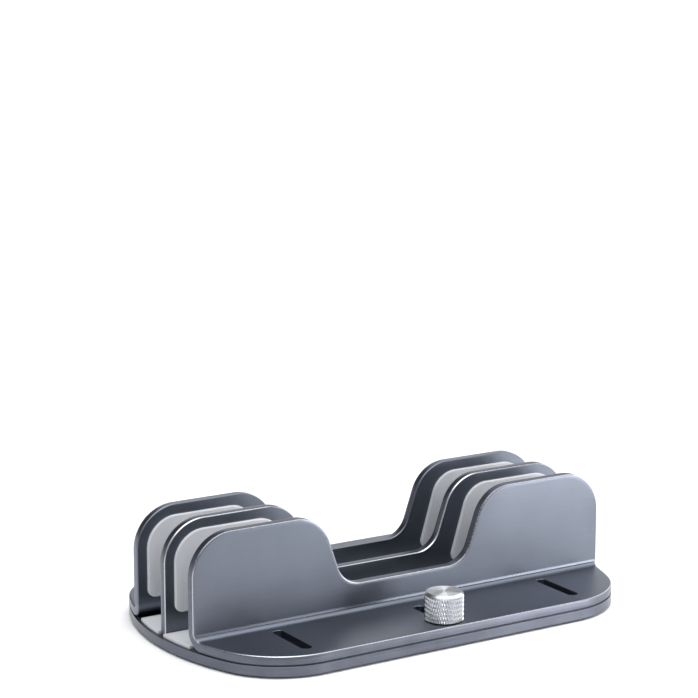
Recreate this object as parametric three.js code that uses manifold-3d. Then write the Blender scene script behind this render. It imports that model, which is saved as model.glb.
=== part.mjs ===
// Two-slot vertical stand that holds a tablet and a laptop on edge, in millimetres, +Z up.
// Origin: centre of the footprint on the desk. +X runs along the length of the stand and
// -Y points at the side that a person faces. A fixed divider stands in the middle of the base,
// and an L-shaped clamp slides on each side of it, locked by a knurled thumb screw.
import * as THREE from 'three';
import { mergeVertices } from 'three/addons/utils/BufferGeometryUtils.js';
import Module from 'manifold-3d';

const wasm = await Module();
wasm.setup();

// Driving dimensions
const BASE_LENGTH = 184.3;
const BASE_DEPTH = 114;
const CORNER_RADIUS = 31.1; // plan radius of the four corners
const END_RADIUS = 98.3; // plan radius of the two bowed ends
const RIM_INSET = 0.8; // width of the step round the raised lands

const FOOT_STANDOFF = 0.8; // rubber feet stand this far below the base plate
const BASE_THICKNESS = 3.7;
const LAND_RISE = 0.35; // raised lands that the clamps glide on
const GLIDE_GAP = 0.1;
const PLATE = 3.5; // thickness of the clamps and the divider
const BEND_RADIUS = 2.6; // inside radius between a clamp's foot and its wall

const WALL_TOP = 47.1;
const VALLEY = 19.1; // lowest level of the dip between the two ears
const WALL_HALF = 90.1;
const EAR_INNER = 36.6; // where the top line and the flank line of an ear meet
const VALLEY_HALF = 26.85; // where the flank line and the valley line meet
const EAR_OUTER_RADIUS = 16.2; // corner of an ear at the end of the wall
const EAR_RADIUS = 15.2; // corner of an ear at the dip
const VALLEY_RADIUS = 10.3;
const WALL_FRONT = 23.05; // distance from the centre plane to a clamp wall's outer face

const TRAVEL = 16; // how far each clamp slides outwards
const SCREW_Y = 48.6; // distance from the centre plane to the thumb screws
const SLOT_X = 58.7; // distance from the centre to the two guide slots
const GUIDE_SLOT = { from: 27.4, to: 50.4, width: 4.2, corner: 1.7 };
const SCREW_SLOT = { from: SCREW_Y - TRAVEL - 2.4, to: SCREW_Y + 2.4, width: 4.4, corner: 2.0 };

const KNOB_RADIUS = 7.25;
const KNOB_HEIGHT = 10.4;
const KNOB_CHAMFER = 0.9;
const STUD_RADIUS = 1.95;
const WASHER = { inner: 2.1, outer: 6.3, thickness: 0.3 };
const NUT = { bore: 2.1, body: 3.1, flange: 4.4, flangeHeight: 0.8 };
const PIN_RADIUS = 1.9;
const PIN_Y = 48.3; // distance from the centre plane to the guide pins
const PIN_BOTTOM = 1.7;

const PAD = 1.2; // thickness of the silicone face pads
const CHANNEL_PAD_RISE = 1.35; // height of the channel pads above the rim of the base
const FOOT_PAD = { length: 26, width: 9, x: 62, y: 35, recess: 0.5 };
const DIVIDER_SCREW_X = [-62, 0, 62];
const DIVIDER_SCREW = { shank: 1.25, head: 2.35, headHeight: 1.3, length: 11 };

// Levels worked out from the dimensions above
const BASE_BOTTOM = FOOT_STANDOFF;
const RIM_TOP = BASE_BOTTOM + BASE_THICKNESS;
const LAND_TOP = RIM_TOP + LAND_RISE;
const SHELF_BOTTOM = LAND_TOP + GLIDE_GAP;
const SHELF_TOP = SHELF_BOTTOM + PLATE;
const WALL_BACK = WALL_FRONT - PLATE;
const HALF_DEPTH = BASE_DEPTH / 2;
const TOUCH = 0.05; // gap left between pieces that rest on each other
const RUN = 0.3; // gap round pieces that sit in a pocket
const OVER = 5; // how far cutting shapes run past what they cut
const ARC_STEPS = 6;
const ROUND_STEPS = 24; // sides of a turned piece or a drilled hole

// Materials
const anodised = { color: 0x6b7482, roughness: 0.42, metalness: 0.85 };
const silver = { color: 0xd9dade, roughness: 0.25, metalness: 1.0 };
const zincSteel = { color: 0xa9acb0, roughness: 0.35, metalness: 1.0 };
const blackSteel = { color: 0x15161a, roughness: 0.45, metalness: 0.7 };
const paleSilicone = { color: 0xc9cacd, roughness: 0.75, metalness: 0.0 };
const blackRubber = { color: 0x1a1a1c, roughness: 0.85, metalness: 0.0 };
const blackNylon = { color: 0x101012, roughness: 0.6, metalness: 0.0 };

const stand = new THREE.Group();

// Helpers: solids and placing

function solid(geometry) {
  geometry.deleteAttribute('normal');
  geometry.deleteAttribute('uv');
  const merged = mergeVertices(geometry, 1e-4);
  return new wasm.Manifold(new wasm.Mesh({
    numProp: 3,
    vertProperties: new Float32Array(merged.attributes.position.array),
    triVerts: new Uint32Array(merged.index.array),
  }));
}

function geometryOf(manifold) {
  const mesh = manifold.getMesh();
  const geometry = new THREE.BufferGeometry();
  geometry.setAttribute('position', new THREE.BufferAttribute(new Float32Array(mesh.vertProperties), 3));
  geometry.setIndex(new THREE.BufferAttribute(new Uint32Array(mesh.triVerts), 1));
  geometry.computeVertexNormals();
  return geometry;
}

function add(name, geometry, look, rear = false) {
  const mesh = new THREE.Mesh(geometry, new THREE.MeshStandardMaterial(look));
  mesh.name = name;
  mesh.rotation.z = rear ? Math.PI : 0;
  stand.add(mesh);
}

// A closed outline from corners [x, y, radius], listed anticlockwise
function roundedShape(corners) {
  const shape = new THREE.Shape();
  const count = corners.length;
  corners.forEach(([x, y, radius], index) => {
    const [px, py] = corners[(index + count - 1) % count];
    const [nx, ny] = corners[(index + 1) % count];
    const inward = new THREE.Vector2(x - px, y - py).normalize();
    const outward = new THREE.Vector2(nx - x, ny - y).normalize();
    const cross = inward.x * outward.y - inward.y * outward.x;
    const turn = Math.atan2(cross, inward.dot(outward));
    if (radius === 0) {
      index === 0 ? shape.moveTo(x, y) : shape.lineTo(x, y);
      return;
    }
    const side = Math.sign(turn);
    const reach = radius * Math.tan(Math.abs(turn) / 2);
    const startX = x - inward.x * reach;
    const startY = y - inward.y * reach;
    const centreX = startX - inward.y * radius * side;
    const centreY = startY + inward.x * radius * side;
    const startAngle = Math.atan2(startY - centreY, startX - centreX);
    index === 0 ? shape.moveTo(startX, startY) : shape.lineTo(startX, startY);
    shape.absarc(centreX, centreY, radius, startAngle, startAngle + turn, side < 0);
  });
  shape.closePath();
  return shape;
}

// Shape in X, Y drawn up along Z
function alongZ(shape, from, to) {
  const geometry = new THREE.ExtrudeGeometry(shape, {
    depth: to - from, bevelEnabled: false, curveSegments: ARC_STEPS,
  });
  return geometry.translate(0, 0, from);
}

// Shape in X, Z drawn along Y
function alongY(shape, from, to) {
  const geometry = new THREE.ExtrudeGeometry(shape, {
    depth: to - from, bevelEnabled: false, curveSegments: ARC_STEPS,
  });
  return geometry.rotateX(Math.PI / 2).translate(0, to, 0);
}

// Shape in Y, Z drawn along X
function alongX(shape, from, to) {
  const geometry = new THREE.ExtrudeGeometry(shape, {
    depth: to - from, bevelEnabled: false, curveSegments: ARC_STEPS,
  });
  const turn = new THREE.Matrix4().makeBasis(
    new THREE.Vector3(0, 1, 0), new THREE.Vector3(0, 0, 1), new THREE.Vector3(1, 0, 0),
  );
  return geometry.translate(0, 0, from).applyMatrix4(turn);
}

// Profile points [radius, height] turned about the vertical line through x, y
function turned(profile, x, y, segments = ROUND_STEPS) {
  const points = profile.map(([radius, height]) => new THREE.Vector2(radius, height));
  return new THREE.LatheGeometry(points, segments).rotateX(Math.PI / 2).translate(x, y, 0);
}

function drill(x, y, radius, from, to) {
  return solid(turned([[0, from], [radius, from], [radius, to], [0, to]], x, y));
}

function rectangle(x0, x1, y0, y1, radius = 0) {
  return roundedShape([[x0, y0, radius], [x1, y0, radius], [x1, y1, radius], [x0, y1, radius]]);
}

function slotShape(x, slot) {
  const half = slot.width / 2;
  return rectangle(x - half, x + half, -slot.to, -slot.from, slot.corner);
}

// Outlines that several pieces share

// Plan of the base: straight long sides, round corners and slightly bowed ends
function planShape(inset) {
  const corner = CORNER_RADIUS - inset;
  const end = END_RADIUS - inset;
  const endCentre = BASE_LENGTH / 2 - END_RADIUS;
  const cornerY = HALF_DEPTH - CORNER_RADIUS;
  const cornerX = endCentre + Math.sqrt((END_RADIUS - CORNER_RADIUS) ** 2 - cornerY ** 2);
  const blend = Math.atan2(cornerY, cornerX - endCentre);
  const quarter = Math.PI / 2;
  const shape = new THREE.Shape();
  shape.moveTo(-cornerX, -HALF_DEPTH + inset);
  shape.lineTo(cornerX, -HALF_DEPTH + inset);
  shape.absarc(cornerX, -cornerY, corner, -quarter, -blend);
  shape.absarc(endCentre, 0, end, -blend, blend);
  shape.absarc(cornerX, cornerY, corner, blend, quarter);
  shape.lineTo(-cornerX, HALF_DEPTH - inset);
  shape.absarc(-cornerX, cornerY, corner, quarter, Math.PI - blend);
  shape.absarc(-endCentre, 0, end, Math.PI - blend, Math.PI + blend);
  shape.absarc(-cornerX, -cornerY, corner, Math.PI + blend, 3 * quarter);
  return shape;
}

// Face of a wall: two ears with a low dip between them, standing on the level given
function wallShape(bottom) {
  return roundedShape([
    [-WALL_HALF, bottom, 0],
    [WALL_HALF, bottom, 0],
    [WALL_HALF, WALL_TOP, EAR_OUTER_RADIUS],
    [EAR_INNER, WALL_TOP, EAR_RADIUS],
    [VALLEY_HALF, VALLEY, VALLEY_RADIUS],
    [-VALLEY_HALF, VALLEY, VALLEY_RADIUS],
    [-EAR_INNER, WALL_TOP, EAR_RADIUS],
    [-WALL_HALF, WALL_TOP, EAR_OUTER_RADIUS],
  ]);
}

// Face pad of the right ear (side 1) or the left ear (side -1), set in from the ear's edges
function earPadShape(side) {
  const bottom = 13;
  const top = WALL_TOP - 4;
  const outer = WALL_HALF - 4;
  const right = [[34, bottom, 3], [outer, bottom, 3], [outer, top, 12], [43, top, 11]];
  return roundedShape(side > 0 ? right : right.map(([x, z, r]) => [-x, z, r]).reverse());
}

// Pieces of the fixed base

function basePlate() {
  const slab = solid(alongZ(planShape(0), BASE_BOTTOM, RIM_TOP));
  const channel = rectangle(-BASE_LENGTH, BASE_LENGTH, -WALL_BACK + RUN, WALL_BACK - RUN);
  const lands = solid(alongZ(planShape(RIM_INSET), RIM_TOP - 1, LAND_TOP))
    .subtract(solid(alongZ(channel, RIM_TOP - 2, LAND_TOP + 1)));
  let plate = slab.add(lands);
  for (const side of [-1, 1]) {
    plate = plate
      .subtract(drill(0, side * SCREW_Y, NUT.body + TOUCH, 0, LAND_TOP + 1))
      .subtract(drill(0, side * SCREW_Y, NUT.flange + RUN, 0, BASE_BOTTOM + NUT.flangeHeight + RUN));
    for (const end of [-1, 1]) {
      const pocket = footPadShape(end, side, RUN);
      plate = plate
        .subtract(drill(end * SLOT_X, side * PIN_Y, PIN_RADIUS + TOUCH, PIN_BOTTOM, LAND_TOP + 1))
        .subtract(solid(alongZ(pocket, 0, BASE_BOTTOM + FOOT_PAD.recess)));
    }
  }
  for (const x of DIVIDER_SCREW_X) {
    const wide = DIVIDER_SCREW.head + 0.15;
    const narrow = DIVIDER_SCREW.shank + 0.15;
    const coneTop = BASE_BOTTOM + 0.1 + DIVIDER_SCREW.headHeight;
    const countersink = turned([
      [0, 0], [wide, 0], [wide, BASE_BOTTOM + 0.3], [narrow, coneTop],
      [narrow, RIM_TOP + 1], [0, RIM_TOP + 1],
    ], x, 0);
    plate = plate.subtract(solid(countersink));
  }
  return geometryOf(plate);
}

function footPadShape(end, side, grow) {
  const { length, width, x, y } = FOOT_PAD;
  const halfLength = length / 2 + grow;
  const halfWidth = width / 2 + grow;
  return rectangle(
    end * x - halfLength, end * x + halfLength, side * y - halfWidth, side * y + halfWidth,
    halfWidth - 0.01,
  );
}

function centreDivider() {
  let plate = solid(alongY(wallShape(RIM_TOP + TOUCH), -PLATE / 2, PLATE / 2));
  for (const x of DIVIDER_SCREW_X) {
    plate = plate.subtract(drill(x, 0, DIVIDER_SCREW.shank + 0.05, 0, DIVIDER_SCREW.length + 1.5));
  }
  return geometryOf(plate);
}

function dividerScrew(x) {
  const { shank, head, headHeight, length } = DIVIDER_SCREW;
  const bottom = BASE_BOTTOM + 0.1;
  const body = solid(turned([
    [0, bottom], [head, bottom], [head, bottom + 0.2], [shank, bottom + headHeight],
    [shank, bottom + length - 0.5], [shank - 0.4, bottom + length], [0, bottom + length],
  ], x, 0));
  const socket = new THREE.CylinderGeometry(0.9, 0.9, 1.6, 6).rotateX(Math.PI / 2);
  return geometryOf(body.subtract(solid(socket.translate(x, 0, bottom + 0.3))));
}

function channelPad() {
  const strip = rectangle(-BASE_LENGTH, BASE_LENGTH, -WALL_BACK + 2 * RUN, -PLATE / 2 - RUN, 0);
  const pad = solid(alongZ(planShape(1.1), RIM_TOP + TOUCH, RIM_TOP + CHANNEL_PAD_RISE))
    .intersect(solid(alongZ(strip, 0, 2 * RIM_TOP)));
  return geometryOf(pad);
}

function guidePin(x) {
  const bottom = PIN_BOTTOM + TOUCH;
  const top = SHELF_TOP - 1;
  return turned([
    [0, bottom], [PIN_RADIUS, bottom], [PIN_RADIUS, top - 0.4], [PIN_RADIUS - 0.4, top], [0, top],
  ], x, -PIN_Y);
}

function pressNut() {
  const { bore, body, flange, flangeHeight } = NUT;
  const bottom = BASE_BOTTOM + 0.1;
  return turned([
    [bore, bottom], [flange, bottom], [flange, bottom + flangeHeight], [body, bottom + flangeHeight],
    [body, LAND_TOP - 0.3], [bore, LAND_TOP - 0.3], [bore, bottom],
  ], 0, -SCREW_Y);
}

// Pieces of a clamp

// Section of the bent plate through its length: foot, rounded bend, wall
function clampSection() {
  return roundedShape([
    [-HALF_DEPTH, SHELF_BOTTOM, 0],
    [-WALL_BACK, SHELF_BOTTOM, BEND_RADIUS + PLATE],
    [-WALL_BACK, WALL_TOP, 0],
    [-WALL_FRONT, WALL_TOP, 0],
    [-WALL_FRONT, SHELF_TOP, BEND_RADIUS],
    [-HALF_DEPTH, SHELF_TOP, 0],
  ]);
}

function clamp() {
  const back = rectangle(-WALL_HALF, WALL_HALF, -WALL_FRONT, OVER);
  const plan = solid(alongZ(planShape(0), 0, WALL_TOP + OVER)).add(
    solid(alongZ(back, 0, WALL_TOP + OVER)),
  );
  let plate = solid(alongX(clampSection(), -BASE_LENGTH, BASE_LENGTH))
    .intersect(solid(alongY(wallShape(0), -HALF_DEPTH - OVER, 0)))
    .intersect(plan);
  const slots = [[-SLOT_X, GUIDE_SLOT], [0, SCREW_SLOT], [SLOT_X, GUIDE_SLOT]];
  for (const [x, slot] of slots) {
    plate = plate.subtract(solid(alongZ(slotShape(x, slot), 0, SHELF_TOP + 1)));
  }
  return geometryOf(plate);
}

// Thumb screw

function knob() {
  const bottom = SHELF_TOP + 2 * TOUCH + WASHER.thickness;
  const top = bottom + KNOB_HEIGHT;
  const hole = STUD_RADIUS + TOUCH;
  const holeTop = bottom + 6;
  return turned([
    [hole, bottom], [KNOB_RADIUS - 0.4, bottom], [KNOB_RADIUS, bottom + 0.4],
    [KNOB_RADIUS, top - KNOB_CHAMFER], [KNOB_RADIUS - KNOB_CHAMFER, top], [0, top],
    [0, holeTop], [hole, holeTop], [hole, bottom],
  ], 0, -SCREW_Y, 2 * ROUND_STEPS);
}

function stud() {
  const bottom = BASE_BOTTOM + 0.4;
  const top = SHELF_TOP + WASHER.thickness + 5.9;
  return turned([
    [0, bottom], [STUD_RADIUS - 0.5, bottom], [STUD_RADIUS, bottom + 0.5], [STUD_RADIUS, top], [0, top],
  ], 0, -SCREW_Y);
}

function washer() {
  const bottom = SHELF_TOP + TOUCH;
  const top = bottom + WASHER.thickness;
  return turned([
    [WASHER.inner, bottom], [WASHER.outer, bottom], [WASHER.outer, top], [WASHER.inner, top],
    [WASHER.inner, bottom],
  ], 0, -SCREW_Y);
}

// The assembly: the fixed base first, then what repeats on each side of the divider

add('base_plate', basePlate(), anodised);
add('centre_divider', centreDivider(), anodised);
['left', 'centre', 'right'].forEach((place, index) => {
  add(`divider_screw_${place}`, dividerScrew(DIVIDER_SCREW_X[index]), zincSteel);
});

// The rear side is the front side turned half round about Z, so left and right swap there
for (const [where, rear] of [['front', false], ['rear', true]]) {
  const hand = { left: rear ? 1 : -1, right: rear ? -1 : 1 };
  add(`${where}_channel_pad`, channelPad(), paleSilicone, rear);
  add(`${where}_press_nut`, pressNut(), zincSteel, rear);
  add(`${where}_clamp`, clamp(), anodised, rear);
  add(`${where}_screw_washer`, washer(), blackNylon, rear);
  add(`${where}_thumb_knob`, knob(), silver, rear);
  add(`${where}_screw_stud`, stud(), zincSteel, rear);
  for (const place of ['left', 'right']) {
    const end = hand[place];
    const pad = earPadShape(end);
    const dividerFace = -PLATE / 2 - TOUCH;
    const clampFace = -WALL_BACK + TOUCH;
    add(`${where}_guide_pin_${place}`, guidePin(end * SLOT_X), blackSteel, rear);
    add(`${where}_divider_pad_${place}`, alongY(pad, dividerFace - PAD, dividerFace), paleSilicone, rear);
    add(`${where}_clamp_pad_${place}`, alongY(pad, clampFace, clampFace + PAD), paleSilicone, rear);
    const sole = footPadShape(end, -1, 0);
    const soleTop = BASE_BOTTOM + FOOT_PAD.recess - TOUCH;
    add(`${where}_foot_pad_${place}`, alongZ(sole, 0, soleTop), blackRubber, rear);
  }
}

export default stand;
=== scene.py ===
"""Looks for the two-slot vertical stand.

Shapes are worked out in millimetres, in the frame of the CAD model, and turned into metres when
a mesh is made. The rear of the stand is built like the front and then turned half round.
"""

import math

import bmesh
import bpy
import numpy as np
from mathutils import Matrix, Vector
from mathutils.geometry import delaunay_2d_cdt

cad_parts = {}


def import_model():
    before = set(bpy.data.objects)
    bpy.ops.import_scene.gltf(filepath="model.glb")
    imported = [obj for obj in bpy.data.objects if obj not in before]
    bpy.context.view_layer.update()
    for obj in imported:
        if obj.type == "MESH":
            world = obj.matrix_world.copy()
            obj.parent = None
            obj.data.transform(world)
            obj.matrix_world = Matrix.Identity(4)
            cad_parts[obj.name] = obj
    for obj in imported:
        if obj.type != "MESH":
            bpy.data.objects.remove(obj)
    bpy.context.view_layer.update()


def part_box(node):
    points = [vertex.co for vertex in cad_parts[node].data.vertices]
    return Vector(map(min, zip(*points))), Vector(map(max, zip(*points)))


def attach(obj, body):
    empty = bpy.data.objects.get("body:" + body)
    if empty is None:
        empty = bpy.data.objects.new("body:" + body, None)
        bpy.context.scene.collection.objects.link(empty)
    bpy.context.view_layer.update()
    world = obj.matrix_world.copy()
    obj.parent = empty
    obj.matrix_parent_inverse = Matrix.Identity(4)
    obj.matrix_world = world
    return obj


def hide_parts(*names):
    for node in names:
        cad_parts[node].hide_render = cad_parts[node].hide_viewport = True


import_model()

MM = 0.001


def box_mm(node):
    low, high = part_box(node)
    return low / MM, high / MM


# ---- Sizes read from the frame ----

base_low, base_high = box_mm("base_plate")
clamp_low, clamp_high = box_mm("front_clamp")
divider_low, divider_high = box_mm("centre_divider")
knob_low, knob_high = box_mm("front_thumb_knob")
stud_low, stud_high = box_mm("front_screw_stud")
washer_low, washer_high = box_mm("front_screw_washer")
nut_low, nut_high = box_mm("front_press_nut")
pin_low, pin_high = box_mm("front_guide_pin_right")
sole_low, sole_high = box_mm("front_foot_pad_right")
channel_low, channel_high = box_mm("front_channel_pad")
clamp_pad_low, clamp_pad_high = box_mm("front_clamp_pad_right")
divider_pad_low, _ = box_mm("front_divider_pad_right")
screw_low, screw_high = box_mm("divider_screw_right")

HALF_LENGTH = base_high.x
HALF_DEPTH = base_high.y
BASE_BOTTOM = base_low.z
LAND_TOP = base_high.z
SHELF_BOTTOM = clamp_low.z
WALL_TOP = clamp_high.z
WALL_HALF = clamp_high.x
WALL_BACK = clamp_high.y
PLATE = divider_high.y - divider_low.y
SHELF_TOP = SHELF_BOTTOM + PLATE
WALL_FRONT = WALL_BACK - PLATE
LAND_EDGE = WALL_BACK + 0.3  # inner edge of the front land
TOUCH = 0.05  # gap between pieces that rest on each other
RIM_TOP = channel_low.z - TOUCH
SCREW_Y = (knob_low.y + knob_high.y) / 2
PIN_X = (pin_low.x + pin_high.x) / 2
PIN_Y = (pin_low.y + pin_high.y) / 2
PIN_RADIUS = (pin_high.x - pin_low.x) / 2
DIVIDER_SCREWS = ("left", "centre", "right")
DIVIDER_SCREW_X = [
    sum(box_mm(f"divider_screw_{place}"), Vector()).x / 2 for place in DIVIDER_SCREWS
]
DIVIDER_SCREW_HEAD = (screw_high.x - screw_low.x) / 2
KNOB_RADIUS = knob_high.x

# ---- Sizes of the shapes themselves ----

CORNER_RADIUS = 31.1
END_RADIUS = 98.3
RIM_INSET = 0.8
BEND_RADIUS = 2.6
VALLEY = 19.1
EAR_INNER = 36.6
VALLEY_HALF = 26.85
EAR_OUTER_RADIUS = 16.2
EAR_RADIUS = 15.2
VALLEY_RADIUS = 10.3
# Slots in a clamp's foot: from y, to y, width, corner radius
GUIDE_SLOT = (-50.4, -27.4, 4.2, 1.7)
SCREW_SLOT = (-51.0, -30.2, 4.4, 2.0)
SLOT_CHAMFER = 0.1
SOFT_EDGE = 0.3  # small chamfer on most metal edges
# Edges of the clamps' outer faces and of both divider faces, as (inset from the outline, depth)
ROLLED_EDGE = [(1.5, 0), (0.75, 0.05), (0.38, 0.12), (0.10, 0.36), (0, 0.65)]
DIVIDER_EDGE = [(0.4, 0), (0.10, 0.36), (0, 0.65)]

EAR_PAD_INNER = (34, 43)  # inner side of a face pad, at its bottom and at its top
EAR_PAD_RADII = (3, 3, 12, 11)  # its corners, from the inner bottom one round
CHANNEL_PAD_INSET = 1.1

RUN = 0.3  # gap round pieces that sit in a pocket
HOLE_RUN = 0.15  # gap round the divider screws
BASE_CHAMFER = 0.08
LAND_CHAMFER = 0.12
DIVIDER_SCREW_SHANK = 1.25
DIVIDER_SCREW_CONE = 1.3  # height of the countersunk head
COUNTERSINK_RIM = 0.3  # straight part below the cone of its hole
NUT_SHANK = 3.1
NUT_BORE = 2.1
NUT_FLANGE = 0.8  # height of the flange
WASHER_BORE = 2.1

KNOB_BORE = 2.0
KNOB_BORE_DEPTH = 6
KNURL_TEETH = 48
KNURL_DEPTH = 0.38
KNURL_PITCH = 3.4  # height of one diamond
KNURL_GRID = 12  # steps across one diamond, and up it
KNURL_FLAT = 0.12  # share of the pattern left flat on top of the diamonds
THREAD_PITCH = 0.7
THREAD_DEPTH = 0.38

PIN_SIDES = 48
ARC_STEP = math.radians(3)
END_STEPS = 24  # steps along a bowed end
SHARP_ANGLE = math.radians(30)  # edges that turn by more than this stay sharp
FAR = 1e3  # a level of y past any piece
CLOSE = 1e-6  # points nearer than this count as level
MERGE = 1e-7  # and as one point when a flat face is filled
MITRE_LIMIT = 0.3  # keeps an offset from running far out at a sharp corner

# Materials of the plates, by place in their lists
# the second place holds the lighter edge colour, partly a painted highlight
FACE, ROLLED_HIGHLIGHT, SIDE = 0, 1, 2
BASE_SIDE = 1


# ---- Outlines: closed lists of (x, y) points, anticlockwise ----


def arc(centre, radius, start, end):
    count = max(2, round(abs(end - start) / ARC_STEP))
    return [
        (
            centre[0] + radius * math.cos(start + (end - start) * i / count),
            centre[1] + radius * math.sin(start + (end - start) * i / count),
        )
        for i in range(count + 1)
    ]


def rounded(corners):
    """Outline from corners (x, y, radius), anticlockwise. Radius 0 keeps the corner sharp."""
    points = []
    for i, (x, y, radius) in enumerate(corners):
        before = Vector(corners[i - 1][:2])
        after = Vector(corners[(i + 1) % len(corners)][:2])
        corner = Vector((x, y))
        inward = (corner - before).normalized()
        outward = (after - corner).normalized()
        turn = math.atan2(inward.cross(outward), inward.dot(outward))
        if radius == 0:
            points.append((x, y))
            continue
        side = math.copysign(1, turn)
        start = corner - inward * radius * math.tan(abs(turn) / 2)
        centre = start + Vector((-inward.y, inward.x)) * radius * side
        angle = math.atan2(start.y - centre.y, start.x - centre.x)
        points += arc(centre, radius, angle, angle + turn)
    return points


def rectangle(x0, x1, y0, y1, radius):
    return rounded([(x0, y0, radius), (x1, y0, radius), (x1, y1, radius), (x0, y1, radius)])


def circle(x, y, radius, count=64):
    return [
        (x + radius * math.cos(math.tau * i / count), y + radius * math.sin(math.tau * i / count))
        for i in range(count)
    ]


def offset(loop, distance):
    """The loop moved inwards by distance (outwards if negative)."""
    moved = []
    for i, point in enumerate(loop):
        here = Vector(point)
        into = (here - Vector(loop[i - 1])).normalized()
        out = (Vector(loop[(i + 1) % len(loop)]) - here).normalized()
        left = Vector((-into.y - out.y, into.x + out.x)).normalized()
        scale = distance / max(MITRE_LIMIT, left.dot(Vector((-into.y, into.x))))
        moved.append((here.x + left.x * scale, here.y + left.y * scale))
    return moved


def plan_corner():
    """Centres of the right-hand corner arcs (x, y) and end arc (x), and the angle they meet at."""
    end_x = HALF_LENGTH - END_RADIUS
    corner_y = HALF_DEPTH - CORNER_RADIUS
    corner_x = end_x + math.sqrt((END_RADIUS - CORNER_RADIUS) ** 2 - corner_y**2)
    return corner_x, corner_y, end_x, math.atan2(corner_y, corner_x - end_x)


def mirrored(points):
    return [(-x, y) for x, y in reversed(points)]


def plan_side(from_y, to_y, inset):
    """Right-hand side of the plan outline between two levels of y, going up."""
    corner_x, corner_y, end_x, blend = plan_corner()
    quarter = math.pi / 2
    corner = CORNER_RADIUS - inset
    end = END_RADIUS - inset
    points = arc((corner_x, -corner_y), corner, -quarter, -blend)
    points += [
        (end_x + end * math.cos(a), end * math.sin(a))
        for a in (-blend + 2 * blend * i / END_STEPS for i in range(1, END_STEPS))
    ]
    points += arc((corner_x, corner_y), corner, blend, quarter)
    kept = [p for p in points if from_y + CLOSE < p[1] < to_y - CLOSE]
    if from_y > -HALF_DEPTH:
        kept.insert(0, (end_x + math.sqrt(end**2 - from_y**2), from_y))
    if to_y < HALF_DEPTH:
        kept.append((end_x + math.sqrt(end**2 - to_y**2), to_y))
    return kept


def plan(from_y=-FAR, to_y=FAR, inset=0.0):
    """Plan outline of the base, or the part of it between two levels of y."""
    right = plan_side(from_y, to_y, inset)
    return right + mirrored(right)


def wall_top():
    """Top of a wall from its right side to its left: two ears with a dip between them."""
    corners = [
        (WALL_HALF, VALLEY, 0),
        (WALL_HALF, WALL_TOP, EAR_OUTER_RADIUS),
        (EAR_INNER, WALL_TOP, EAR_RADIUS),
        (VALLEY_HALF, VALLEY, VALLEY_RADIUS),
        (-VALLEY_HALF, VALLEY, VALLEY_RADIUS),
        (-EAR_INNER, WALL_TOP, EAR_RADIUS),
        (-WALL_HALF, WALL_TOP, EAR_OUTER_RADIUS),
        (-WALL_HALF, VALLEY, 0),
    ]
    return rounded(corners)


def ear_pad(side):
    """Face pad of the right ear (side 1) or the left ear (side -1)."""
    bottom, top = clamp_pad_low.z, clamp_pad_high.z
    outer = clamp_pad_high.x
    inner_bottom, inner_top = EAR_PAD_INNER
    corners = [(inner_bottom, bottom), (outer, bottom), (outer, top), (inner_top, top)]
    right = rounded([(x, z, radius) for (x, z), radius in zip(corners, EAR_PAD_RADII)])
    return right if side > 0 else mirrored(right)


# ---- Mesh making ----


def inside(points, loop):
    """Which of the points lie inside the loop."""
    x, y = points[:, 0], points[:, 1]
    found = np.zeros(len(points), bool)
    ax, ay = loop[-1]
    for bx, by in loop:
        if ay != by:
            crosses = (ay > y) != (by > y)
            found ^= crosses & (x < ax + (y - ay) * (bx - ax) / (by - ay))
        ax, ay = bx, by
    return found


class Body:
    """A mesh in the making. place turns (x, y, depth) into a point in millimetres."""

    def __init__(self, place):
        self.mesh = bmesh.new()
        self.place = place

    def loop(self, points, depth):
        return [self.mesh.verts.new(Vector(self.place(x, y, depth)) * MM) for x, y in points]

    def ring(self, upper, lower, material=FACE, flip=False):
        """Wall between two loops with the same number of points."""
        count = len(upper)
        for i in range(count):
            j = (i + 1) % count
            corners = [upper[i], lower[i], lower[j], upper[j]]
            face = self.mesh.faces.new(corners[::-1] if flip else corners)
            face.material_index = material

    def strip(self, left, right, flip=False):
        """Band of quads between two open rows of points."""
        for i in range(len(left) - 1):
            corners = [left[i], right[i], right[i + 1], left[i + 1]]
            self.mesh.faces.new(corners[::-1] if flip else corners)

    def cap(self, outer, holes=(), flip=False):
        """Flat fill of a loop around holes. Each is a pair (points, vertices)."""
        loops = [outer, *holes]
        points = [Vector(p) for pts, _ in loops for p in pts]
        verts = [v for _, vs in loops for v in vs]
        edges = []
        start = 0
        for pts, _ in loops:
            count = len(pts)
            edges += [(start + i, start + (i + 1) % count) for i in range(count)]
            start += count
        out = delaunay_2d_cdt(points, edges, [], 0, MERGE)
        origin = [ids[0] for ids in out[3]]
        faces = [[origin[i] for i in face] for face in out[2]]
        centres = np.array([np.mean([points[i] for i in face], axis=0) for face in faces])
        keep = inside(centres, outer[0])
        for pts, _ in holes:
            keep &= ~inside(centres, pts)
        for face, wanted in zip(faces, keep):
            if wanted:
                corners = [verts[i] for i in face]
                self.mesh.faces.new(corners[::-1] if flip else corners)

    def sleeve(self, rows, materials=None, flip=False):
        """Walls through rows of (points, depth). Gives the loops back, as (points, vertices)."""
        made = [(points, self.loop(points, depth)) for points, depth in rows]
        for upper, lower, material in zip(made, made[1:], materials or [FACE] * len(rows)):
            self.ring(upper[1], lower[1], material, flip)
        return made

    def data(self, name):
        mesh = bpy.data.meshes.new(name)
        bmesh.ops.recalc_face_normals(self.mesh, faces=self.mesh.faces)
        self.mesh.to_mesh(mesh)
        self.mesh.free()
        return mesh


def slab(name, place, outline, profile, materials=None):
    """Plate with a shaped edge. profile lists (inset, depth) from the front face to the back."""
    body = Body(place)
    loops = body.sleeve([(offset(outline, inset), depth) for inset, depth in profile], materials)
    body.cap(loops[0])
    body.cap(loops[-1], flip=True)
    return body.data(name)


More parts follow.
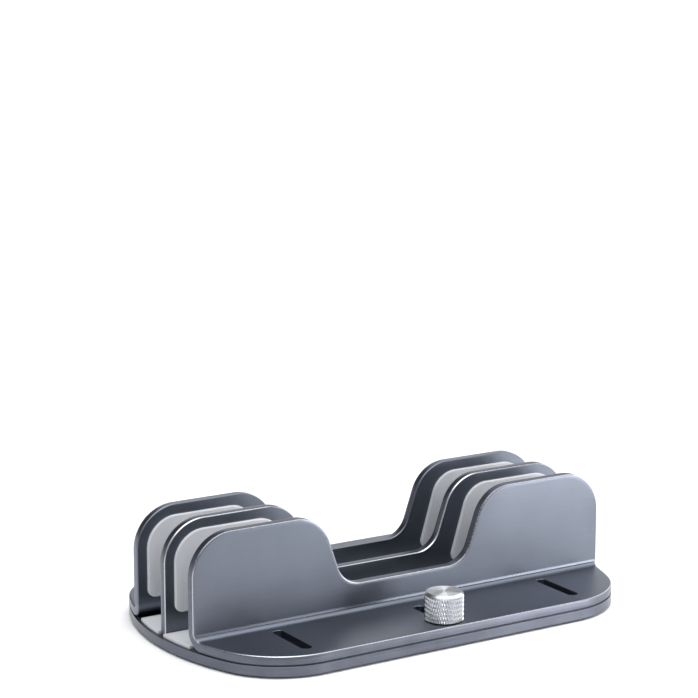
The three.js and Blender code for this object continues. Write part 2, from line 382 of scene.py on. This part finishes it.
def lathe(profile, x, y, sides, materials=None, shape=None):
    """Closed body turned about the vertical line through x, y, from (radius, height) points.
    shape(angle, height, radius) may change the radius."""
    mesh = bmesh.new()
    angles = [math.tau * i / sides for i in range(sides)]
    rows = []
    for radius, height in profile:
        if radius == 0:
            rows.append([mesh.verts.new(Vector((x, y, height)) * MM)])
            continue
        radii = [shape(a, height, radius) if shape else radius for a in angles]
        rows.append([
            mesh.verts.new(Vector((x + r * math.cos(a), y + r * math.sin(a), height)) * MM)
            for a, r in zip(angles, radii)
        ])
    pairs = list(zip(rows, rows[1:]))
    if profile[0][0] != 0:
        pairs.append((rows[-1], rows[0]))
    for index, (low, high) in enumerate(pairs):
        for i in range(sides):
            j = (i + 1) % sides
            corners = [low[i % len(low)], low[j % len(low)]]
            corners += [high[j % len(high)], high[i % len(high)]]
            unique = list(dict.fromkeys(corners))  # a row on the axis has one point only
            if len(unique) > 2:
                face = mesh.faces.new(unique)
                face.material_index = materials[index] if materials else 0
    bmesh.ops.recalc_face_normals(mesh, faces=mesh.faces)
    data = bpy.data.meshes.new("turned")
    mesh.to_mesh(data)
    mesh.free()
    return data


def piece(name, mesh, body, node, looks):
    """Puts a mesh in the scene as a piece that stands for a CAD node."""
    mesh.name = name
    for look in looks:
        mesh.materials.append(look)
    mesh.shade_smooth()
    mesh.set_sharp_from_angle(angle=SHARP_ANGLE)
    made = bpy.data.objects.new(name, mesh)
    bpy.context.scene.collection.objects.link(made)
    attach(made, body)
    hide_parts(node)


def turned_round(mesh):
    """A copy of a front mesh for the rear of the stand."""
    copy = mesh.copy()
    copy.materials.clear()
    copy.transform(Matrix.Rotation(math.pi, 4, "Z"))
    return copy


# ---- Materials ----


def material(name, **sockets):
    """New material, its node tree and its shader, with values for the shader's own sockets."""
    made = bpy.data.materials.new(name)
    made.use_nodes = True
    shader = made.node_tree.nodes["Principled BSDF"]
    for socket, value in sockets.items():
        shader.inputs[socket.replace("_", " ")].default_value = value
    return made, made.node_tree, shader


def node(tree, kind, inputs=None, **settings):
    """New node with values for its inputs, by name, and for its own settings."""
    made = tree.nodes.new(kind)
    for key, value in settings.items():
        setattr(made, key, value)
    for key, value in (inputs or {}).items():
        made.inputs[key].default_value = value
    return made


def coordinates(tree, scale=(1, 1, 1)):
    """Object coordinates, stretched."""
    source = node(tree, "ShaderNodeTexCoord")
    mapping = node(tree, "ShaderNodeMapping", {"Scale": scale})
    tree.links.new(source.outputs["Object"], mapping.inputs["Vector"])
    return mapping.outputs["Vector"]


def noise(tree, vector, scale, detail=2.0, roughness=0.5):
    inputs = {"Scale": scale, "Detail": detail, "Roughness": roughness}
    made = node(tree, "ShaderNodeTexNoise", inputs)
    tree.links.new(vector, made.inputs["Vector"])
    return made.outputs["Fac"]


def spread(tree, value, low, high, from_low=0.3, from_high=0.7):
    """value between from_low and from_high spread over low to high."""
    made = node(
        tree,
        "ShaderNodeMapRange",
        {"From Min": from_low, "From Max": from_high, "To Min": low, "To Max": high},
    )
    tree.links.new(value, made.inputs["Value"])
    return made.outputs["Result"]


def combine(tree, kind, first, second):
    made = node(tree, "ShaderNodeMath", operation=kind)
    for index, value in enumerate((first, second)):
        if isinstance(value, (int, float)):
            made.inputs[index].default_value = value
        else:
            tree.links.new(value, made.inputs[index])
    return made.outputs[0]


def blend(tree, *parts):
    """Sum of (value, share) pairs."""
    scaled = [combine(tree, "MULTIPLY", value, share) for value, share in parts]
    total = scaled[0]
    for value in scaled[1:]:
        total = combine(tree, "ADD", total, value)
    return total


def ramp(tree, value, dark, light):
    """Colour between dark and light as value goes from 0 to 1."""
    made = node(tree, "ShaderNodeMix", data_type="RGBA", clamp_factor=True)
    made.inputs[6].default_value = (*dark, 1)
    made.inputs[7].default_value = (*light, 1)
    tree.links.new(value, made.inputs[0])
    return made.outputs[2]


def bump(tree, height, distance, strength=1.0, before=None):
    made = node(tree, "ShaderNodeBump", {"Distance": distance, "Strength": strength})
    tree.links.new(height, made.inputs["Height"])
    if before:
        tree.links.new(before, made.inputs["Normal"])
    return made.outputs["Normal"]


def turned_tangent(tree, shader):
    """Tangent that runs round the vertical axis, for stretched highlights."""
    tangent = node(tree, "ShaderNodeTangent", direction_type="RADIAL", axis="Z")
    tree.links.new(tangent.outputs["Tangent"], shader.inputs["Tangent"])


def anodised(name, dark, light, rough):
    """Bead-blasted anodised aluminium: fine grain, a cloudy sheen and faint lines across."""
    made, tree, shader = material(name, Metallic=1.0)
    link = tree.links.new
    grain = noise(tree, coordinates(tree), 5200, 2.0)
    cloud = noise(tree, coordinates(tree), 38, 4.0, 0.6)
    lines = noise(tree, coordinates(tree, (30, 30, 5200)), 1.0, 3.0, 0.7)
    tone = spread(tree, blend(tree, (grain, 0.35), (cloud, 0.4), (lines, 0.25)), 0, 1, 0.35, 0.65)
    link(ramp(tree, tone, dark, light), shader.inputs["Base Color"])
    finish = blend(tree, (grain, 0.5), (cloud, 0.5))
    link(spread(tree, finish, rough - 0.05, rough + 0.06, 0.35, 0.65), shader.inputs["Roughness"])
    blasted = bump(tree, grain, 0.000012, 0.6)
    link(bump(tree, lines, 0.000008, 0.35, blasted), shader.inputs["Normal"])
    return made


def edge_polish_and_highlight():
    """Rolled edge, polished by the tumbling, with fine tool lines. Its lighter colour is partly a
    painted highlight along the edge.
    """
    made, tree, shader = material("rolled_edge_polish_and_highlight", Metallic=1.0)
    link = tree.links.new
    lines = noise(tree, coordinates(tree), 2600, 3.0)
    tone = spread(tree, lines, 0, 1)
    # lighter than the anodised faces: partly the polish, partly a painted highlight
    link(ramp(tree, tone, (0.36, 0.37, 0.40), (0.48, 0.49, 0.53)), shader.inputs["Base Color"])
    link(spread(tree, lines, 0.22, 0.30), shader.inputs["Roughness"])
    return made


def milled_edge(name, dark, light, rough):
    """Milled side of a plate: fine lines along it, which spread the light up and down."""
    made, tree, shader = material(
        name, Metallic=1.0, Anisotropic=0.6, Anisotropic_Rotation=0.25,
    )
    link = tree.links.new
    lines = noise(tree, coordinates(tree, (40, 40, 6500)), 1.0, 3.0, 0.7)
    cloud = noise(tree, coordinates(tree), 45, 3.0, 0.6)
    mixed = blend(tree, (lines, 0.6), (cloud, 0.4))
    tone = spread(tree, mixed, 0, 1, 0.35, 0.65)
    link(ramp(tree, tone, dark, light), shader.inputs["Base Color"])
    link(spread(tree, mixed, rough - 0.05, rough + 0.05, 0.35, 0.65), shader.inputs["Roughness"])
    link(bump(tree, lines, 0.00001, 0.4), shader.inputs["Normal"])
    turned_tangent(tree, shader)
    return made


def metal(name, dark, light, rough_low, rough_high, scale=900, grain=0.000006):
    """Plain metal with fine marks."""
    made, tree, shader = material(name, Metallic=1.0)
    link = tree.links.new
    marks = noise(tree, coordinates(tree), scale, 4.0, 0.6)
    link(ramp(tree, spread(tree, marks, 0, 1), dark, light), shader.inputs["Base Color"])
    link(spread(tree, marks, rough_low, rough_high), shader.inputs["Roughness"])
    link(bump(tree, marks, grain, 0.5), shader.inputs["Normal"])
    return made


def turned_silver():
    """Face of the knob: rings left by the lathe, which spread the light into a fan."""
    made, tree, shader = material(
        "turned_silver", Metallic=1.0, Anisotropic=0.9, Anisotropic_Rotation=0.25,
    )
    link = tree.links.new
    parts = node(tree, "ShaderNodeSeparateXYZ")
    link(coordinates(tree), parts.inputs[0])
    x, y = parts.outputs["X"], parts.outputs["Y"]
    # Both knobs stand at the same distance from the centre plane
    across = combine(tree, "SUBTRACT", combine(tree, "ABSOLUTE", y, 0), -SCREW_Y * MM)
    squares = [combine(tree, "MULTIPLY", value, value) for value in (x, across)]
    radius = combine(tree, "SQRT", combine(tree, "ADD", *squares), 0)
    ring_pitch = 0.00022
    rings = combine(tree, "SINE", combine(tree, "MULTIPLY", radius, math.tau / ring_pitch), 0)
    marks = spread(tree, noise(tree, coordinates(tree), 700, 3.0), 0, 1)
    link(ramp(tree, marks, (0.58, 0.59, 0.61), (0.70, 0.71, 0.73)), shader.inputs["Base Color"])
    link(spread(tree, rings, 0.34, 0.42, -1, 1), shader.inputs["Roughness"])
    link(bump(tree, rings, 0.000003, 0.5), shader.inputs["Normal"])
    turned_tangent(tree, shader)
    return made


def polymer(name, dark, light, rough, scale, depth, **sockets):
    """Silicone, rubber or nylon: soft mottling and a fine moulded texture."""
    made, tree, shader = material(name, **sockets)
    link = tree.links.new
    texture = noise(tree, coordinates(tree), scale, 3.0, 0.6)
    cloud = noise(tree, coordinates(tree), scale / 40, 3.0)
    tone = spread(tree, blend(tree, (texture, 0.4), (cloud, 0.6)), 0, 1)
    link(ramp(tree, tone, dark, light), shader.inputs["Base Color"])
    link(spread(tree, texture, rough - 0.08, rough + 0.08), shader.inputs["Roughness"])
    link(bump(tree, texture, depth, 0.6), shader.inputs["Normal"])
    return made


GREY = anodised("blue_grey_anodised", (0.126, 0.140, 0.169), (0.160, 0.176, 0.211), 0.36)
MILLED = milled_edge("blue_grey_milled", (0.090, 0.097, 0.120), (0.170, 0.181, 0.219), 0.36)
# painted highlight on the rolled edge band, partly its polish
EDGE_POLISH_AND_HIGHLIGHT = edge_polish_and_highlight()
SILVER = metal(
    "silver_knurl", (0.50, 0.51, 0.54), (0.60, 0.61, 0.64), 0.26, 0.33, scale=5000, grain=0.000002,
)
TURNED = turned_silver()
ZINC = metal("zinc_plate", (0.48, 0.49, 0.51), (0.66, 0.67, 0.68), 0.24, 0.40)
BLACK_STEEL = metal("black_oxide", (0.020, 0.020, 0.024), (0.045, 0.045, 0.050), 0.38, 0.55)
SILICONE = polymer(
    "pale_silicone", (0.45, 0.46, 0.49), (0.53, 0.54, 0.56), 0.58, 2400, 0.00002,
    Subsurface_Weight=0.15, Subsurface_Scale=0.002,
)
RUBBER = polymer("black_rubber", (0.018, 0.018, 0.019), (0.035, 0.035, 0.037), 0.72, 1800, 0.00003)
# black washer: a real washer, whose dark rim also paints the shade line between knob and clamp
NYLON_AND_SHADE = polymer("black_nylon", (0.016, 0.016, 0.018), (0.030, 0.030, 0.032), 0.45, 1500, 0.00001)


# ---- Base ----


def base_place(x, y, depth):
    return (x, y, RIM_TOP - depth)


def base_plate():
    """Slab with a stepped rim, two raised lands, and holes and pockets for the other pieces."""
    body = Body(base_place)
    thick = RIM_TOP - BASE_BOTTOM
    rise = LAND_TOP - RIM_TOP
    outline = plan()
    rows = [(BASE_CHAMFER, 0), (0, BASE_CHAMFER), (0, thick - SOFT_EDGE), (SOFT_EDGE, thick)]
    rows = [(offset(outline, inset), depth) for inset, depth in rows]
    loops = body.sleeve(rows, [BASE_SIDE] * len(rows))
    top_holes, bottom_holes = [], []

    for side in (-1, 1):
        land = plan(to_y=LAND_EDGE, inset=RIM_INSET)
        if side > 0:
            land = [(-x, -y) for x, y in land]
        crest = offset(land, LAND_CHAMFER)
        land_loops = body.sleeve([(crest, -rise), (land, LAND_CHAMFER - rise), (land, 0)])
        top_holes.append(land_loops[-1])

        centre = -side * SCREW_Y
        flange = circle(0, centre, nut_high.x + RUN)
        shank = circle(0, centre, NUT_SHANK + TOUCH)
        seat = thick - (NUT_FLANGE + RUN)
        bore = body.sleeve([(shank, -rise), (shank, seat)], flip=True)
        counterbore = body.sleeve([(flange, seat), (flange, thick)], flip=True)
        body.cap(counterbore[0], [bore[1]], flip=True)
        bottom_holes.append(counterbore[1])

        land_holes = [bore[0]]
        for end in (-1, 1):
            pin = circle(end * PIN_X, -side * PIN_Y, PIN_RADIUS + TOUCH, PIN_SIDES)
            hole = body.sleeve([(pin, -rise), (pin, RIM_TOP - pin_low.z + TOUCH)], flip=True)
            body.cap(hole[1])
            land_holes.append(hole[0])
            pocket = offset(sole(end, side), -RUN)
            ceiling = RIM_TOP - sole_high.z - TOUCH
            hole = body.sleeve([(pocket, ceiling), (pocket, thick)], flip=True)
            body.cap(hole[0], flip=True)
            bottom_holes.append(hole[1])
        body.cap(land_loops[0], land_holes)

    for x in DIVIDER_SCREW_X:
        wide = circle(x, 0, DIVIDER_SCREW_HEAD + HOLE_RUN)
        narrow = circle(x, 0, DIVIDER_SCREW_SHANK + HOLE_RUN)
        cone_top = RIM_TOP - (screw_low.z + DIVIDER_SCREW_CONE)
        rows = [(narrow, 0), (narrow, cone_top), (wide, thick - COUNTERSINK_RIM), (wide, thick)]
        hole = body.sleeve(rows, flip=True)
        top_holes.append(hole[0])
        bottom_holes.append(hole[-1])
    body.cap(loops[0], top_holes)
    body.cap(loops[-1], bottom_holes, flip=True)
    return body.data("base_plate")


def sole(end, side):
    """Outline of the rubber foot at an end (-1 left, 1 right) and a side (-1 front, 1 rear)."""
    x = (sole_low.x + sole_high.x) / 2
    y = -(sole_low.y + sole_high.y) / 2
    half_length = (sole_high.x - sole_low.x) / 2
    half_width = (sole_high.y - sole_low.y) / 2
    return rectangle(
        end * x - half_length, end * x + half_length,
        side * y - half_width, side * y + half_width,
        half_width - 0.01,  # a shade under a half circle, so that no side has no length
    )


# ---- Clamps and divider ----

# Stations round the bend: angle from the foot, and the depth of a fine groove there
BEND = [(angle, 0.0) for angle in range(0, 57, 7)]
BEND += [(57, 0.06), (58, 0.42), (62, 0.42), (63, 0.06)]
BEND += [(angle, 0.0) for angle in (64, 70, 76, 82, 86, 90)]


def clamp_plate():
    """Plate drawn flat, with x across and s along it from the front edge, then folded up."""
    bend_y = WALL_FRONT - BEND_RADIUS
    bend_z = SHELF_TOP + BEND_RADIUS
    bend_start = bend_y + HALF_DEPTH
    bend_end = bend_start + BEND_RADIUS * math.pi / 2
    stations = [bend_start + BEND_RADIUS * math.radians(a) for a, _ in BEND]
    groove = dict(zip((round(s, 6) for s in stations), (g for _, g in BEND)))

    def place(x, s, depth):
        if s <= bend_start:
            return (x, s - HALF_DEPTH, SHELF_TOP - depth)
        if s >= bend_end:
            return (x, WALL_FRONT + depth, bend_z + s - bend_end)
        if depth == 0:
            depth = groove.get(round(s, 6), 0.0)
        angle = (s - bend_start) / BEND_RADIUS
        reach = BEND_RADIUS + depth
        return (x, bend_y + reach * math.sin(angle), bend_z - reach * math.cos(angle))

    def on_sheet(points):
        return [(x, y + HALF_DEPTH) for x, y in points]

    foot_right = on_sheet(plan_side(-FAR, bend_y, 0))
    foot = mirrored(foot_right) + foot_right
    foot_half = foot_right[-1][0]
    widths = [
        foot_half + (WALL_HALF - foot_half) * (s - bend_start) / (bend_end - bend_start)
        for s in stations
    ]
    lift = bend_end - bend_z
    top = [(x, z + lift) for x, z in wall_top()]
    wall = [(WALL_HALF, bend_end), *top, (-WALL_HALF, bend_end)]
    right = list(zip(widths, stations))[1:-1]
    left = [(-x, s) for x, s in reversed(right)]
    outline = foot + right + wall + left

    def inset(distance):
        """The outline moved inwards, straight across where it runs round the bend."""
        moved = offset(outline, distance)
        return [
            (x - math.copysign(distance, x), s)
            if bend_start - CLOSE <= s <= bend_end + CLOSE else new
            for (x, s), new in zip(outline, moved)
        ]

    body = Body(place)
    rows = [*ROLLED_EDGE, (0, PLATE - SOFT_EDGE), (SOFT_EDGE, PLATE)]
    rows = [(inset(distance), depth) for distance, depth in rows]
    loops = body.sleeve(rows, (FACE, FACE, ROLLED_HIGHLIGHT, SIDE, SIDE, SIDE))
    slots = []
    for x, (y0, y1, width, radius) in ((-PIN_X, GUIDE_SLOT), (0, SCREW_SLOT), (PIN_X, GUIDE_SLOT)):
        shape = on_sheet(rectangle(x - width / 2, x + width / 2, y0, y1, radius))
        rows = [(SLOT_CHAMFER, 0), (0, SLOT_CHAMFER), (0, PLATE)]
        rows = [(offset(shape, -grow), depth) for grow, depth in rows]
        slots.append(body.sleeve(rows, flip=True))

    foot_end = len(foot)
    wall_start = foot_end + len(right)
    wall_end = wall_start + len(wall)
    for (points, verts), row, flip in ((loops[0], 0, False), (loops[-1], -1, True)):
        body.cap((points[:foot_end], verts[:foot_end]), [slot[row] for slot in slots], flip)
        body.cap((points[wall_start:wall_end], verts[wall_start:wall_end]), flip=flip)
        right_row = verts[foot_end - 1:wall_start + 1]
        left_row = [verts[0], *reversed(verts[wall_end:]), verts[wall_end - 1]]
        body.strip(left_row, right_row, flip)
    return body.data("clamp")


def divider_plate():
    def place(x, z, depth):
        return (x, -PLATE / 2 + depth, z)

    bottom = divider_low.z
    outline = [(-WALL_HALF, bottom), (WALL_HALF, bottom), *wall_top()]
    profile = DIVIDER_EDGE + [(inset, PLATE - depth) for inset, depth in reversed(DIVIDER_EDGE)]
    return slab("divider", place, outline, profile, (ROLLED_HIGHLIGHT, SIDE, SIDE, SIDE, ROLLED_HIGHLIGHT))


# ---- Pads ----


def soft_profile(thickness, edge):
    """Moulded edge: rounded at the front face, square at the glued face."""
    turns = [math.radians(a) for a in (0, 30, 60, 90)]
    rounding = [(edge * (1 - math.sin(t)), edge * (1 - math.cos(t))) for t in turns]
    return rounding + [(0, thickness)]


def face_pad(side, front_y, facing):
    """Pad on an ear. facing is -1 when its free face looks at -Y, 1 when it looks at +Y."""
    thickness = clamp_pad_high.y - clamp_pad_low.y

    def place(x, z, depth):
        return (x, front_y - facing * depth, z)

    return slab("face_pad", place, ear_pad(side), soft_profile(thickness, edge=0.5))


def channel_pad():
    top, bottom = channel_high.z, channel_low.z

    def place(x, y, depth):
        return (x, y, top - depth)

    outline = plan(channel_low.y, channel_high.y, CHANNEL_PAD_INSET)
    return slab("channel_pad", place, outline, soft_profile(top - bottom, edge=0.45))


def foot_pad(end):
    def place(x, y, depth):
        return (x, y, depth)

    return slab("foot_pad", place, sole(end, -1), soft_profile(sole_high.z, edge=0.35))


# ---- Screws, nuts and pins ----


def knurled(angle, height):
    """Depth of a diamond knurl: two crossing sets of V grooves."""
    across = KNURL_TEETH * angle / math.tau
    climb = height / KNURL_PITCH
    grooves = [abs(2 * ((across + way) % 1) - 1) for way in (climb, -climb)]
    return KNURL_DEPTH * max(0, (max(grooves) - KNURL_FLAT) / (1 - KNURL_FLAT))


def knob_mesh():
    """Knurled drum with a turned top and a blind hole for the stud underneath."""
    bottom, top = knob_low.z, knob_high.z
    knurl_look, turned_look = 0, 1  # materials, by place in the knob's list
    neck = KNOB_RADIUS - 0.30  # plain rings below and above the knurl
    crown = 1.05  # height of the part above the knurl
    knurl_low = bottom + 0.06
    step = KNURL_PITCH / KNURL_GRID
    steps = int((top - crown - knurl_low) / step)
    knurl_high = knurl_low + steps * step
    plain = [(KNOB_BORE, bottom), (neck - 0.04, bottom), (neck, bottom + 0.03)]
    plain += [(KNOB_RADIUS, knurl_low + i * step) for i in range(steps + 1)]
    plain += [(neck, knurl_high + 0.06), (neck, top - 0.94)]
    bright = [(KNOB_RADIUS - 0.08, top - 0.84), (KNOB_RADIUS - 0.86, top)]  # chamfer
    bright += [(radius, top) for radius in (5.2, 4.0, 2.6, 1.2)]  # rings of the flat top
    hidden = [(0, top), (0, bottom + KNOB_BORE_DEPTH), (KNOB_BORE, bottom + KNOB_BORE_DEPTH)]
    looks = [knurl_look] * len(plain) + [turned_look] * len(bright) + [knurl_look] * len(hidden)

    def shape(angle, height, radius):
        return radius - (knurled(angle, height - knurl_low) if radius == KNOB_RADIUS else 0)

    sides = KNURL_TEETH * KNURL_GRID
    return lathe(plain + bright + hidden, 0, SCREW_Y, sides, looks, shape)


def thread(low, high):
    """Shape of a right-hand V thread, fading out at both ends."""

    def shape(angle, height, radius):
        phase = (height / THREAD_PITCH - angle / math.tau) % 1
        fade = min(1, max(0, (height - low) / THREAD_PITCH), max(0, (high - height) / THREAD_PITCH))
        return radius - THREAD_DEPTH * fade * (1 - abs(2 * phase - 1))

    return shape


def stud_mesh():
    low, high = stud_low.z, stud_high.z
    radius = stud_high.x
    tip = 0.4  # height of the taper at each end
    plain = 5.5  # length inside the knob, which has no thread
    length = high - low - 2 * tip
    steps = round(length / (THREAD_PITCH / 8))  # eight rows of points to a turn
    rows = [(radius, low + tip + length * i / steps) for i in range(steps + 1)]
    profile = [(0, low), (radius - 0.45, low), *rows, (radius - 0.2, high), (0, high)]
    return lathe(profile, 0, SCREW_Y, sides=40, shape=thread(low + tip, high - plain))


def washer_mesh():
    low, high = washer_low.z, washer_high.z
    outer = washer_high.x
    soft = 0.08
    return lathe([
        (WASHER_BORE, low), (outer - soft, low), (outer, low + soft), (outer, high - soft),
        (outer - soft, high), (WASHER_BORE, high),
    ], 0, SCREW_Y, sides=72)


def nut_mesh():
    """Flanged bush whose shank is serrated where it sits in the plate."""
    low, high = nut_low.z, nut_high.z
    flange = nut_high.x
    soft = 0.12
    lead = 0.25  # chamfers of the bore

    ribs, rib_depth = 24, 0.12

    def serrated(angle, height, radius):
        in_plate = radius == NUT_SHANK and height > low + 1
        return radius - (rib_depth * abs(math.sin(ribs / 2 * angle)) if in_plate else 0)

    return lathe([
        (NUT_BORE + lead, low), (flange - soft, low), (flange, low + soft),
        (flange, low + NUT_FLANGE - soft), (flange - soft, low + NUT_FLANGE),
        (NUT_SHANK, low + NUT_FLANGE + 0.02), (NUT_SHANK, low + 1.2),
        (NUT_SHANK, high - 0.3), (NUT_SHANK - 0.2, high),
        (NUT_BORE + lead, high), (NUT_BORE, high - lead), (NUT_BORE, low + lead),
    ], 0, SCREW_Y, sides=96, shape=serrated)


def pin_mesh(end):
    low, high = pin_low.z, pin_high.z
    profile = [
        (0, low), (PIN_RADIUS, low), (PIN_RADIUS, high - 0.45), (PIN_RADIUS - 0.12, high - 0.15),
        (PIN_RADIUS - 0.4, high), (0, high),
    ]
    return lathe(profile, end * PIN_X, PIN_Y, PIN_SIDES)


def divider_screw(x):
    """Countersunk screw with a hexagon socket, seen from below."""
    low, high = screw_low.z, screw_high.z
    head, shank = DIVIDER_SCREW_HEAD, DIVIDER_SCREW_SHANK
    depth, corners = 1.1, 0.9  # depth of the socket and the radius to its corners

    def hexagon(angle, height, radius):
        if radius != corners:
            return radius
        return corners * math.cos(math.pi / 6) / math.cos(angle % (math.pi / 3) - math.pi / 6)

    profile = [
        (0, low + depth), (corners, low + depth), (corners, low + 0.05), (corners + 0.15, low),
        (head - 0.08, low), (head, low + 0.1), (head, low + 0.2),
        (shank, low + DIVIDER_SCREW_CONE), (shank, high - 0.5), (shank - 0.4, high), (0, high),
    ]
    return lathe(profile, x, 0, sides=72, shape=hexagon)


# ---- The assembly ----

BASE_LOOKS = [GREY, MILLED]
PLATE_LOOKS = [GREY, EDGE_POLISH_AND_HIGHLIGHT, MILLED]


def put_base():
    piece("base_plate_body", base_plate(), "base", "base_plate", BASE_LOOKS)
    piece("divider_wall", divider_plate(), "base", "centre_divider", PLATE_LOOKS)
    for place, x in zip(DIVIDER_SCREWS, DIVIDER_SCREW_X):
        piece(f"countersunk_screw_{place}", divider_screw(x), "base", f"divider_screw_{place}",
              [ZINC])


def put_side(where, rear):
    """All that repeats in front of the divider and behind it."""

    def put(name, mesh, body, replaced, looks):
        mesh = turned_round(mesh) if rear else mesh
        piece(f"{where}_{name}", mesh, body, f"{where}_{replaced}", looks)

    clamp = f"{where}_clamp"
    screw = f"{where}_screw"
    put("clamp_plate", clamp_plate(), clamp, "clamp", PLATE_LOOKS)
    put("knurled_knob", knob_mesh(), screw, "thumb_knob", [SILVER, TURNED])
    put("threaded_stud", stud_mesh(), screw, "screw_stud", [ZINC])
    # its black rim also stands in for painted shade under the knob
    put("captive_washer", washer_mesh(), f"{where}_washer", "screw_washer", [NYLON_AND_SHADE])
    put("flanged_nut", nut_mesh(), "base", "press_nut", [ZINC])
    put("channel_strip", channel_pad(), "base", "channel_pad", [SILICONE])
    for place, end in (("left", -1), ("right", 1)):
        own = -end if rear else end  # the side it is built on before the half turn
        put(f"dowel_{place}", pin_mesh(own), "base", f"guide_pin_{place}",
            [BLACK_STEEL])
        put(f"clamp_face_pad_{place}", face_pad(own, clamp_pad_high.y, 1), clamp,
            f"clamp_pad_{place}", [SILICONE])
        put(f"divider_face_pad_{place}", face_pad(own, divider_pad_low.y, -1), "base",
            f"divider_pad_{place}", [SILICONE])
        put(f"rubber_foot_{place}", foot_pad(own), "base", f"foot_pad_{place}",
            [RUBBER])


put_base()
put_side("front", False)
put_side("rear", True)


# ---- Floor, light and camera ----

# Where the camera stands, in metres, and how it is turned, in degrees
CAMERA_PLACE = (-0.4583, -0.7151, 0.2726)
CAMERA_YAW = 32.057
CAMERA_PITCH = 11.436
CAMERA_LENS = 119.28

FLOOR_HALF = 20.0  # metres

ROOM_LIGHT = 0.08
# Soft bright areas of the room: direction, cosines to it where they start and are full, strength
BRIGHT_AREAS = [
    ((0.96, -0.26, 0.08), 0.54, 0.97, 3.0),  # right
    ((0.54, 0.78, 0.30), 0.84, 0.98, 1.0),  # behind, to the right
    ((-1.0, 0.10, 0.10), 0.50, 1.00, 0.7),  # left
    ((-0.15, -0.40, 0.90), 0.55, 0.96, 1.5),  # above the front
    ((0.20, -0.05, 0.98), 0.87, 0.97, 1.5),  # overhead
]


def camera():
    data = bpy.data.cameras.new("camera")
    data.lens = CAMERA_LENS
    data.sensor_width = 36  # millimetres, as the lens
    made = bpy.data.objects.new("camera", data)
    made.location = CAMERA_PLACE
    made.rotation_euler = (math.radians(90 - CAMERA_PITCH), 0, math.radians(-CAMERA_YAW))
    bpy.context.scene.collection.objects.link(made)
    bpy.context.scene.camera = made


def floor():
    half = FLOOR_HALF
    corners = [(-half, -half, 0), (half, -half, 0), (half, half, 0), (-half, half, 0)]
    mesh = bpy.data.meshes.new("floor")
    mesh.from_pydata(corners, [], [(0, 1, 2, 3)])
    look, tree, shader = material("floor_paper", Roughness=0.9)
    paper = noise(tree, coordinates(tree), 900, 2.0)
    colour = ramp(tree, paper, (0.86, 0.86, 0.86), (0.90, 0.90, 0.90))
    tree.links.new(colour, shader.inputs["Base Color"])
    mesh.materials.append(look)
    made = bpy.data.objects.new("floor", mesh)
    bpy.context.scene.collection.objects.link(made)


def light(name, kind, place, aim, power, **settings):
    """Light at a place, aimed at a point. A sun only uses the direction between the two."""
    data = bpy.data.lights.new(name, kind)
    data.energy = power
    for key, value in settings.items():
        setattr(data, key, value)
    made = bpy.data.objects.new(name, data)
    made.location = place
    made.rotation_euler = (Vector(aim) - Vector(place)).to_track_quat("-Z", "Y").to_euler()
    bpy.context.scene.collection.objects.link(made)


def world():
    """Dim room with soft bright areas, each fading in towards its direction."""
    made = bpy.data.worlds.new("studio")
    bpy.context.scene.world = made
    made.use_nodes = True
    tree = made.node_tree
    source = node(tree, "ShaderNodeTexCoord")
    total = ROOM_LIGHT
    for direction, start, end, strength in BRIGHT_AREAS:
        towards = node(tree, "ShaderNodeVectorMath", operation="DOT_PRODUCT")
        towards.inputs[1].default_value = Vector(direction).normalized()
        tree.links.new(source.outputs["Generated"], towards.inputs[0])
        fade = node(tree, "ShaderNodeMapRange", {
            "From Min": start, "From Max": end, "To Min": 0.0, "To Max": strength,
        }, interpolation_type="SMOOTHSTEP")
        tree.links.new(towards.outputs["Value"], fade.inputs["Value"])
        total = combine(tree, "ADD", fade.outputs["Result"], total)
    background = tree.nodes["Background"]
    background.inputs["Color"].default_value = (0.97, 0.98, 1.0, 1)
    tree.links.new(total, background.inputs["Strength"])


camera()
floor()
world()
light("key", "SUN", (-0.20, -0.15, 0.9), (0, 0, 0), 1.2, angle=math.radians(50))
# A bright spot on the floor, kept off the stand itself, which the right ear reflects
light("right_bounce", "AREA", (0.48, -0.32, 0.26), (0.42, -0.30, 0), 1.7,
      shape="RECTANGLE", size=0.25, size_y=0.25, spread=math.radians(90))
light("right_strip", "AREA", (0.55, -0.62, 0.08), (0, 0, 0.03), 1.5,
      shape="RECTANGLE", size=0.30, size_y=0.14)

bpy.context.scene.view_settings.view_transform = "Standard"
